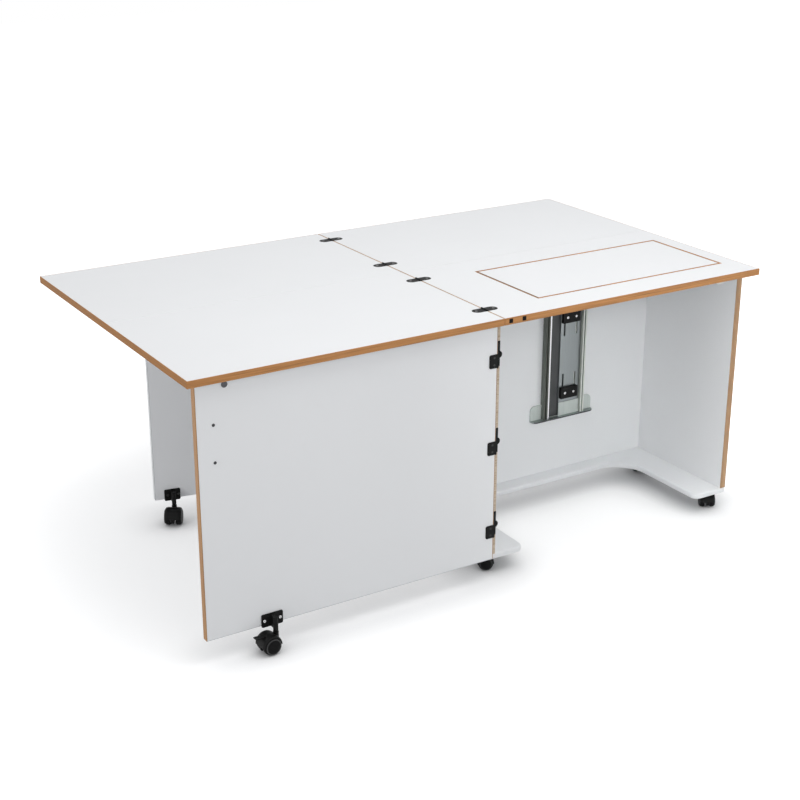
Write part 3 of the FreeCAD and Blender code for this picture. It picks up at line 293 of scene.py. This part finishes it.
def white_laminate(name, colour=(0.86, 0.865, 0.875)):
    """Melamine: a cool white with a pearl grain of under a millimetre and faint handling marks."""
    s = Shader(name, colour, 0.38)
    cloud = s.noise(s.place, 3.1, 3.0)
    marks = s.noise(s.stretched((9.0, 14.0, 11.0)), 2.2, 5.0, 0.62)
    tone = s.ramp(cloud, (0.3, toned(colour, 0.985)), (0.7, colour))
    s.colour(s.mix(s.ramp(marks, (0.6, 0.0), (0.78, 0.05)), tone, (0.7, 0.7, 0.69)))
    s.roughness(marks, 0.33, 0.45)
    s.bump(s.noise(s.place, 1500.0, 2.0), 0.10, 0.00012)
    return s.material


# oak from its pores to its palest wood, each with its place on the grain's ramp
OAK = ((0.30, (0.255, 0.105, 0.032)), (0.43, (0.470, 0.218, 0.072)), (0.62, (0.600, 0.300, 0.108)),
       (0.8, (0.66, 0.36, 0.14)))
OAK_CLOUD = (0.42, 0.19, 0.06)
OAK_GRAIN = {"X": (7.0, 420.0, 420.0), "Y": (420.0, 7.0, 420.0), "Z": (420.0, 420.0, 7.0)}


def strip_grain(s, upright):
    """Grain that runs along each strip of edging, told by the way its faces look. Round an upright board
    level faces have it along x and the others along z. Round a flat board faces that look sideways have it
    along y and the others along x."""
    facing, theirs, others = ("Z", "X", "Z") if upright else ("X", "Y", "X")
    geometry = s.nodes.new("ShaderNodeNewGeometry")
    split = s.node("ShaderNodeSeparateXYZ", {0: geometry.outputs["True Normal"]})
    chosen = s.math("GREATER_THAN", s.math("ABSOLUTE", split.outputs[facing], 0.0), LOOKS_ALONG)
    grain = {axis: s.noise(s.stretched(OAK_GRAIN[axis]), 1.0, 7.0, 0.62) for axis in (theirs, others)}
    return s.mix(chosen, grain[others], grain[theirs])


def oak(name, upright=False, tint=WHITE, sheen=0.5):
    """Oak edging: fine grain with darker clouds in it."""
    s = Shader(name, (0.5, 0.25, 0.09), 0.42, sheen=sheen)
    grain = strip_grain(s, upright)
    tone = s.ramp(grain, *((position, tinted(colour, tint)) for position, colour in OAK))
    clouds = s.ramp(s.noise(s.place, 9.0, 3.0), (0.35, 0.0), (0.75, 0.35))
    s.colour(s.mix(clouds, tone, tinted(OAK_CLOUD, tint)))
    s.roughness(grain, 0.36, 0.55)
    s.bump(grain, 0.25, 0.0002)
    return s.material


def grey_edging():
    s = Shader("grey_edging", (0.62, 0.63, 0.645), 0.4)
    s.colour(s.ramp(s.noise(s.place, 14.0), (0.3, (0.585, 0.595, 0.61)), (0.7, (0.64, 0.65, 0.66))))
    s.bump(s.noise(s.place, 900.0, 2.0), 0.1, 0.0001)
    return s.material


def black_paint():
    """Powder coat: fine orange peel, rubbed brighter on its edges."""
    s = Shader("black_paint", (0.008, 0.008, 0.008), 0.48, sheen=0.1)
    peel = s.noise(s.place, 700.0, 3.0)
    tone = s.ramp(s.noise(s.place, 60.0), (0.3, 0.004), (0.75, 0.009))
    s.colour(s.mix(s.edge_wear(0.15), tone, (0.04, 0.04, 0.04)))
    s.roughness(peel, 0.42, 0.58)
    s.bump(peel, 0.22, 0.0002)
    return s.material


def black_nylon(name, tone=0.006, sheen=0.15):
    """Moulded nylon with a spark-eroded grain and a little dust."""
    black = (tone, tone, tone)
    s = Shader(name, black, 0.42, sheen=sheen)
    grain = s.noise(s.place, 1100.0, 2.0)
    dust = s.ramp(s.noise(s.place, 45.0, 6.0, 0.6), (0.52, 0.0), (0.85, 0.35))
    s.colour(s.mix(dust, black, tinted(black, (2.6, 2.5, 2.4))))
    s.roughness(grain, 0.30, 0.52)
    s.bump(grain, 0.18, 0.00015)
    return s.material


def brushed_steel(name, colour, along=(260.0, 260.0, 3.0), low=0.26, high=0.44):
    """Steel with fine scratches along one axis, between a low and a high roughness."""
    s = Shader(name, colour, 0.34, metallic=1.0)
    scratch = s.noise(s.stretched(along), 3.0, 6.0, 0.7)
    s.colour(s.ramp(scratch, (0.3, toned(colour, 0.86)), (0.7, colour)))
    s.roughness(scratch, low, high)
    s.bump(scratch, 0.12, 0.0001)
    return s.material


def lift_finish(name, colour):
    """The lift's passivated steel: a slightly green grey, mottled, and brighter on rubbed edges."""
    s = Shader(name, colour, 0.42)
    mottle = s.noise(s.stretched((60.0, 60.0, 9.0)), 1.0, 4.0, 0.6)
    dark = tinted(colour, (0.86, 0.87, 0.86))
    light = tinted(colour, (1.12, 1.12, 1.1))
    tone = s.ramp(mottle, (0.3, dark), (0.7, light))
    s.colour(s.mix(s.edge_wear(0.3), tone, toned(colour, 1.5)))
    s.roughness(s.noise(s.place, 500.0, 3.0), 0.34, 0.5)
    s.bump(mottle, 0.1, 0.0001)
    return s.material


def zinc_plate():
    """Zinc with fine spangle."""
    s = Shader("zinc_plate", (0.42, 0.43, 0.44), 0.38, metallic=1.0)
    spangle = s.noise(s.place, 260.0, 3.0)
    s.colour(s.ramp(spangle, (0.3, (0.36, 0.37, 0.385)), (0.7, (0.5, 0.51, 0.515))))
    s.roughness(spangle, 0.3, 0.5)
    s.bump(spangle, 0.08, 0.0001)
    return s.material


MATERIALS = {
    "white": white_laminate("white_laminate"),
    "oak_flat": oak("oak_flat", tint=(0.92, 0.85, 0.72)),
    "oak_pale": oak("oak_pale", upright=True, tint=(0.80, 0.98, 1.45)),
    # a darker copy of the oak for the faces that look left: painted shade
    "oak_side_painted_shade": oak("oak_side_painted_shade", tint=(0.60, 0.52, 0.30), sheen=0.12),
    # oak with its grain upright, for the door's edging, tinted darker and less orange as painted shade
    "oak_upright_painted_shade": oak("oak_upright_painted_shade", upright=True, tint=(0.74, 0.80, 0.90), sheen=0.3),
    "oak_seam": oak("oak_seam", tint=(1.15, 1.95, 4.3)),
    # oak darkened with the painted shadow of the gap beside the platform's left strip
    "oak_painted_shadow": oak("oak_painted_shadow", tint=(0.42, 0.42, 0.5)),
    "grey_edging": grey_edging(),
    "black_paint": black_paint(),
    "black_nylon": black_nylon("black_nylon"),
    "black_wheel": black_nylon("black_wheel", sheen=0.08),
    "black_rim": black_nylon("black_rim", 0.010, 0.6),
    "black_screw": black_nylon("black_screw", 0.012, 0.5),
    "plug": black_nylon("plug", 0.004, 0.1),
    "white_nylon": white_laminate("white_nylon", (0.74, 0.745, 0.745)),
    "steel": brushed_steel("steel_plate", (0.30, 0.325, 0.33)),
    "steel_bracket": brushed_steel("steel_bracket", (0.46, 0.51, 0.50), (3.0, 260.0, 260.0)),
    "bright": brushed_steel("bright_steel", (0.72, 0.72, 0.73), (300.0, 300.0, 40.0), 0.12, 0.24),
    # steel made nearly black for the handle's screw heads and the strike button: painted shade over their
    # steel
    "dark_steel_painted_shade": brushed_steel("dark_steel_painted_shade", (0.085, 0.085, 0.09)),
    "worn_steel": brushed_steel("worn_steel", (0.22, 0.22, 0.22)),
    "rail": lift_finish("rail", (0.115, 0.128, 0.112)),
    # a darker copy of the rail's finish for the left rail's front faces: painted shade
    "rail_front_painted_shade": lift_finish("rail_front_painted_shade", (0.050, 0.056, 0.045)),
    "rail_light": lift_finish("rail_light", (0.36, 0.385, 0.35)),
    # a near-white copy of the lift finish: painted highlight on the right rail's front and in the right
    # column of slots
    "rail_painted_highlight": lift_finish("rail_painted_highlight", (0.66, 0.68, 0.64)),
    # a near-black copy of the lift finish: painted shade on the plate's set-back front faces, also used for
    # the foot bracket's low front faces
    "plate_painted_shade": lift_finish("plate_painted_shade", (0.045, 0.048, 0.050)),
    "plate_light": lift_finish("plate_light", (0.50, 0.54, 0.52)),
    "zinc": zinc_plate(),
}


# ---------------------------------------------------------------- pieces made from the CAD nodes

# corners of the CAD's mesh that are closer than this are one
SAME_PLACE = 2e-6
# faces that meet at less than this are one flat face
FLAT_ANGLE = math.radians(0.5)
# edges sharper than this are rounded
ROUNDED_ANGLE = math.radians(32.0)
# faces that meet at less than this are shaded smooth
SMOOTH_ANGLE = math.radians(35.0)
ROUNDING_STEPS = 2
# how strongly a flat face's size counts in the shading beside a rounded edge
FLATNESS = 100

FAR = 2000.0
LOWEST = (-FAR, -FAR, -FAR)
HIGHEST = (FAR, FAR, FAR)
LEFT = (-1.0, 0.0, 0.0)
FRONT = (0.0, -1.0, 0.0)
UP = (0.0, 0.0, 1.0)
DOWN = (0.0, 0.0, -1.0)
SEAM_ZONE = ("oak_seam", (-4.0, -FAR, 761.0), (4.0, FAR, FAR), None)
# the left-looking faces of the two left edging strips take the darker oak as painted shade
PAINTED_SHADE_SIDE_ZONE = ("oak_side_painted_shade", LOWEST, (-880.0, FAR, FAR), LEFT)
# of a node: a further material, the low and high corner of the zone it covers in mm, and which way its
# faces look, or None for any way
ZONES = {
    "main_top_edging": (SEAM_ZONE,),
    "front_left_edging": (SEAM_ZONE, PAINTED_SHADE_SIDE_ZONE),
    "rear_right_edging": (SEAM_ZONE,),
    "rear_left_edging": (SEAM_ZONE, PAINTED_SHADE_SIDE_ZONE),
    "side_panel_edging": (("oak_seam", LOWEST, (25.0, FAR, FAR), None),),
    # the platform's left strip takes the oak darkened with the gap's painted shadow
    "platform_edging": (("oak_painted_shadow", LOWEST, (186.5, FAR, FAR), None),),
    "door_edging": (("grey_edging", LOWEST, (FAR, FAR, 69.0), None),),
    # painted shade on the left rail's front faces
    "lift_rails": (("rail_front_painted_shade", LOWEST, (500.0, FAR, FAR), FRONT),
                   # the right rail: a lighter finish, with a painted highlight on its front faces
                   ("rail_light", (500.0, -FAR, -FAR), HIGHEST, None),
                   ("rail_painted_highlight", (500.0, -FAR, -FAR), HIGHEST, FRONT)),
    # painted shade on the plate's set-back front faces
    "lift_plate": (("plate_painted_shade", (-FAR, -64.0, -FAR), HIGHEST, FRONT),
                   # painted highlight in the right column of slots
                   ("rail_painted_highlight", (566.0, -64.0, 330.0), (574.0, FAR, 550.0), FRONT)),
    "lift_foot_bracket": (("plate_light", (-FAR, -68.5, 246.0), HIGHEST, None),
                          # the foot bracket's low front faces take the near-black copy made for painted
                          # shade
                          ("plate_painted_shade", LOWEST, (FAR, -66.5, 248.0), FRONT)),
}
# a material, the radius of the edges in mm, and the nodes that have them
DRESSED = (
    ("white", 0.5, ("left_panel", "right_panel", "back_panel", "main_top", "front_left_leaf",
                    "rear_right_leaf", "rear_left_leaf", "door_panel", "gate_inner_panel",
                    "gate_outer_panel", "lift_platform")),
    ("white", 3.0, ("base_board",)),
    ("oak_flat", 0.8, ("main_top_edging", "front_left_edging", "rear_right_edging",
                       "rear_left_edging", "platform_edging")),
    # the door's edging: upright grain, darkened as painted shade
    ("oak_upright_painted_shade", 0.8, ("door_edging",)),
    ("oak_pale", 0.8, ("side_panel_edging",)),
    ("grey_edging", 0.8, ("gate_outer_edging",)),
    ("black_paint", 0.5, ("link_hinges_main", "link_hinges_front_left", "link_hinges_rear_right",
                          "link_hinges_rear_left", "door_hinges_fixed", "door_hinges_moving",
                          "gate_hinges_cabinet", "gate_inner_hinges", "gate_outer_hinges",
                          "drop_hinges_main", "drop_hinges_leaf", "door_caster_bracket",
                          "gate_caster_bracket")),
    ("black_nylon", 1.0, ("lift_blocks", "carriage_sliders")),
    ("steel", 0.4, ("lift_plate", "carriage_plate", "lift_arms")),
    ("steel_bracket", 0.6, ("lift_foot_bracket",)),
    ("bright", 0.4, ("lift_rod", "door_handle")),
    # the strike button takes the nearly black steel: painted shade
    ("dark_steel_painted_shade", 0.4, ("strike_button",)),
    ("white_nylon", 1.0, ("magnetic_catch",)),
    ("plug", 1.0, ("edge_plugs",)),
    ("rail", 0.5, ("lift_rails",)),
    ("zinc", 0.4, ("cabinet_caster_mounts",)),
)


def add_piece(name, form, body, material, further=()):
    """Makes a form into a piece that rides on a body."""
    mesh = bpy.data.meshes.new(name)
    form.to_mesh(mesh)
    form.free()
    mesh.polygons.foreach_set("use_smooth", [True] * len(mesh.polygons))
    mesh.set_sharp_from_angle(angle=SMOOTH_ANGLE)
    for each in (material, *further):
        mesh.materials.append(MATERIALS[each])
    piece = bpy.data.objects.new(name, mesh)
    bpy.context.scene.collection.objects.link(piece)
    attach(piece, body)
    return piece


def sort_faces(form, zones):
    """Gives each face the number of the last zone that holds all its corners and looks its way."""
    form.normal_update()
    for face in form.faces:
        face.material_index = 0
        for number, (_, low, high, facing) in enumerate(zones, 1):
            inside = all(low[k] * MM < v.co[k] < high[k] * MM for v in face.verts for k in range(3))
            if inside and (facing is None or face.normal.dot(Vector(facing)) > LOOKS_ALONG):
                face.material_index = number


def round_edges(piece, radius):
    """Rounds the sharp edges and leaves the flat faces between them flat."""
    edge = piece.modifiers.new("edges", "BEVEL")
    edge.width = radius * MM
    edge.segments = ROUNDING_STEPS
    edge.limit_method = "ANGLE"
    edge.angle_limit = ROUNDED_ANGLE
    level = piece.modifiers.new("flats", "WEIGHTED_NORMAL")
    level.mode = "FACE_AREA"
    level.weight = FLATNESS
    level.keep_sharp = True


def dress(node, material, radius):
    """The CAD node's own form, with flat faces made whole and its sharp edges rounded by a radius in mm."""
    source = NODES[node]
    zones = ZONES.get(node, ())
    form = bmesh.new()
    form.from_mesh(source.data)
    bmesh.ops.remove_doubles(form, verts=form.verts, dist=SAME_PLACE)
    bmesh.ops.recalc_face_normals(form, faces=form.faces)
    sort_faces(form, zones)
    bmesh.ops.dissolve_limit(form, angle_limit=FLAT_ANGLE, verts=form.verts, edges=form.edges,
                             delimit={"MATERIAL"})
    further = [zone[0] for zone in zones]
    piece = add_piece(f"{node}_finish", form, source["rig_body"], material, further)
    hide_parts(node)
    round_edges(piece, radius)


def dress_all():
    for material, radius, names in DRESSED:
        for node in names:
            dress(node, material, radius)


# ---------------------------------------------------------------- turned forms

ROUND = 24


def standing(place, facing):
    """The matrix that sets a form on a place, with its z axis turned to where facing points."""
    return Matrix.Translation(place) @ facing.to_track_quat("Z", "Y").to_matrix().to_4x4()


def add_ring(form, where, radius, height):
    """Corners in a circle round the z axis of a matrix."""
    ring = []
    for i in range(ROUND):
        turn = i * math.tau / ROUND
        corner = Vector((radius * math.cos(turn), radius * math.sin(turn), height))
        ring.append(form.verts.new(where @ corner))
    return ring


def add_band(form, low, high):
    """Faces between two rings."""
    for i in range(len(low)):
        j = (i + 1) % len(low)
        form.faces.new((low[i], low[j], high[j], high[i]))


def ring_edges(form, ring):
    """The edges from corner to corner of a ring, made where there are none yet."""
    pairs = [(ring[i - 1], ring[i]) for i in range(len(ring))]
    return [form.edges.get(pair) or form.edges.new(pair) for pair in pairs]


# ---------------------------------------------------------------- casters

# the section of a wheel cap's rim: radius as a share of the tread's, height as a share of half the
# pair's width, and what is added to that height in mm
CAP_RIM = ((0.86, 0.91, 0.0), (0.86, 0.97, 0.1), (0.84, 0.97, 0.5), (0.75, 0.97, 0.5), (0.73, 0.97, 0.1),
           (0.73, 0.95, 0.0))
# the radius of their edges, in mm
WHEEL_EDGE = 0.6
HOOD_EDGE = 0.4


def add_cap_rims(node, centre, axis):
    """The raised rim round the cap of each wheel of a pair. The wheels stand on the floor, so the height
    of their centre is the tread's radius."""
    half = max(abs((v.co - centre).dot(axis)) for v in NODES[node].data.vertices)
    form = bmesh.new()
    for outward in (axis, -axis):
        where = standing(centre, outward)
        rings = []
        for share, out, rise in CAP_RIM:
            rings.append(add_ring(form, where, centre.z * share, half * out + rise * MM))
        for low, high in zip(rings, rings[1:] + rings[:1]):
            add_band(form, low, high)
    bmesh.ops.recalc_face_normals(form, faces=form.faces)
    add_piece(f"{node}_cap_rims", form, NODES[node]["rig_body"], "black_rim")


def dress_casters():
    for joint in frame["record"]["behaviour"]["joints"]:
        if joint["name"].endswith("_roll"):
            dress(joint["child"], "black_wheel", WHEEL_EDGE)
            add_cap_rims(joint["child"], Vector(joint["pos_m"]), Vector(joint["axis"]))
    for node in NODES:
        if node.endswith("_hood"):
            dress(node, "black_nylon", HOOD_EDGE)


# ---------------------------------------------------------------- screws

# the shank's radius as a share of the head's
SHANK = 0.5
# the section of a pan head from the shank out and up: radius as a share of the head's, height as a share
# of its rise
HEAD = ((SHANK, -0.1), (1.0, -0.1), (1.0, 0.45), (0.8, 1.0))
# one corner of the cross recess, in shares of the head's radius, taken round in four quarter turns
CROSS = ((0.5, -0.12), (0.5, 0.12), (0.12, 0.12))
# the height of the recess's bottom as a share of the head's rise, and its size as a share of the mouth's
RECESS_HEIGHT = 0.3
RECESS_SIZE = 0.85
# of a kind of screw: its material, its head's radius and rise, and how long its shank is, in mm
SCREWS = {
    # the handle's screw heads take the nearly black steel: painted shade
    "handle": ("dark_steel_painted_shade", 4.0, 2.0, 19.0),
    "lift_block": ("bright", 4.0, 1.0, 2.0),
    "link_hinge": ("worn_steel", 3.8, 0.4, 2.0),
    "drop_hinge": ("worn_steel", 3.2, 0.7, 2.0),
    "door_hinge": ("black_screw", 3.2, 0.4, 2.0),
    "door_mount": ("bright", 4.2, 1.4, 2.0),
    "gate_mount": ("black_screw", 4.2, 1.4, 2.0),
}
# the middle of the rear gate's caster mount on the board's face, and the ways it looks and runs
GATE_MOUNT = Vector((-589.6, 362.2, 79.0))
GATE_FACING = Vector((-0.1772, -0.9842, 0.0))
GATE_ALONG = Vector((0.9842, -0.1772, 0.0))
MOUNT_THICKNESS = 3.0


def add_cross(form, where, radius, height):
    """Corners along the outline of a cross recess, round the z axis of a matrix."""
    corners = []
    for quarter in range(4):
        turned = where @ Matrix.Rotation(quarter * math.pi / 2, 4, "Z")
        for x, y in CROSS:
            corners.append(form.verts.new(turned @ Vector((radius * x, radius * y, height))))
    return corners


def add_screw(form, place, facing, radius, rise, shank):
    """A pan head with a cross recess, standing on a face at place, and its shank behind it."""
    where = standing(Vector(place) * MM, Vector(facing))
    rings = [add_ring(form, where, radius * SHANK, -shank)]
    for share, height in HEAD:
        rings.append(add_ring(form, where, radius * share, rise * height))
    for low, high in zip(rings, rings[1:]):
        add_band(form, low, high)
    form.faces.new(rings[0])
    mouth = add_cross(form, where, radius, rise)
    bottom = add_cross(form, where, radius * RECESS_SIZE, rise * RECESS_HEIGHT)
    add_band(form, mouth, bottom)
    form.faces.new(bottom)
    top = ring_edges(form, rings[-1]) + ring_edges(form, mouth)
    bmesh.ops.triangle_fill(form, use_beauty=True, edges=top)


def add_screws(name, carrier, kind, places, facing):
    """Screws of one kind at places in mm, in a CAD node: they ride on its body."""
    material, radius, rise, shank = SCREWS[kind]
    form = bmesh.new()
    for place in places:
        add_screw(form, place, facing, radius * MM, rise * MM, shank * MM)
    bmesh.ops.recalc_face_normals(form, faces=form.faces)
    return add_piece(name, form, NODES[carrier]["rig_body"], material)


def add_handle_screws():
    """Their heads on the door's face, at the two feet of the handle behind it."""
    x, door_face = -817.0, -465.0
    places = [(x, door_face, foot) for foot in (536.5, 632.5)]
    heads = add_screws("handle_screw_heads", "handle_screws", "handle", places, FRONT)
    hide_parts("handle_screws")


def add_lift_block_screws():
    """Two to a guide block, side by side."""
    columns, block_heights = (529.0, 561.0), (320.0, 562.0)
    block_face = -75.0
    places = [(x, block_face, z) for x in columns for z in block_heights]
    heads = add_screws("lift_block_screw_heads", "lift_block_screws", "lift_block", places, FRONT)
    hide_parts("lift_block_screws")


def add_link_hinge_screws():
    """One in each leaf of the four hinges across the short seam."""
    aside, top_face = 27.0, 762.0
    front, rear = (-395.0, -71.5), (108.5, 429.0)
    for node, x, rows in (("link_hinges_main", aside, front), ("link_hinges_front_left", -aside, front),
                          ("link_hinges_rear_right", aside, rear), ("link_hinges_rear_left", -aside, rear)):
        places = [(x, y, top_face) for y in rows]
        add_screws(f"{node}_screws", node, "link_hinge", places, UP)


def add_drop_hinge_screws():
    """Two in each leaf of the three hinges under the long seam."""
    columns, underside = (120.0, 440.0, 760.0), 741.0
    for node, y in (("drop_hinges_main", -1.0), ("drop_hinges_leaf", 38.0)):
        places = [(x + aside, y, underside) for x in columns for aside in (-13.0, 13.0)]
        add_screws(f"{node}_screws", node, "drop_hinge", places, DOWN)


def add_door_screws():
    """Two in the plate of each wrap hinge, and two in the caster's mount."""
    x, plate_face, hinge_heights = -16.0, -467.0, (151.0, 396.5, 642.0)
    places = [(x, plate_face, z + up) for z in hinge_heights for up in (-10.0, 10.0)]
    add_screws("door_hinge_screws", "door_hinges_moving", "door_hinge", places, FRONT)
    columns, mount_face, mount_height = (-704.0, -660.0), -468.0, 79.0
    places = [(x, mount_face, mount_height) for x in columns]
    add_screws("door_mount_screws", "door_caster_bracket", "door_mount", places, FRONT)


def add_gate_screws():
    """Two in the caster's mount."""
    face = GATE_MOUNT + MOUNT_THICKNESS * GATE_FACING
    places = [face + aside * GATE_ALONG for aside in (-16.0, 16.0)]
    add_screws("gate_mount_screws", "gate_caster_bracket", "gate_mount", places, GATE_FACING)


def add_all_screws():
    add_handle_screws()
    add_lift_block_screws()
    add_link_hinge_screws()
    add_drop_hinge_screws()
    add_door_screws()
    add_gate_screws()


make_studio()
dress_all()
dress_casters()
add_all_screws()
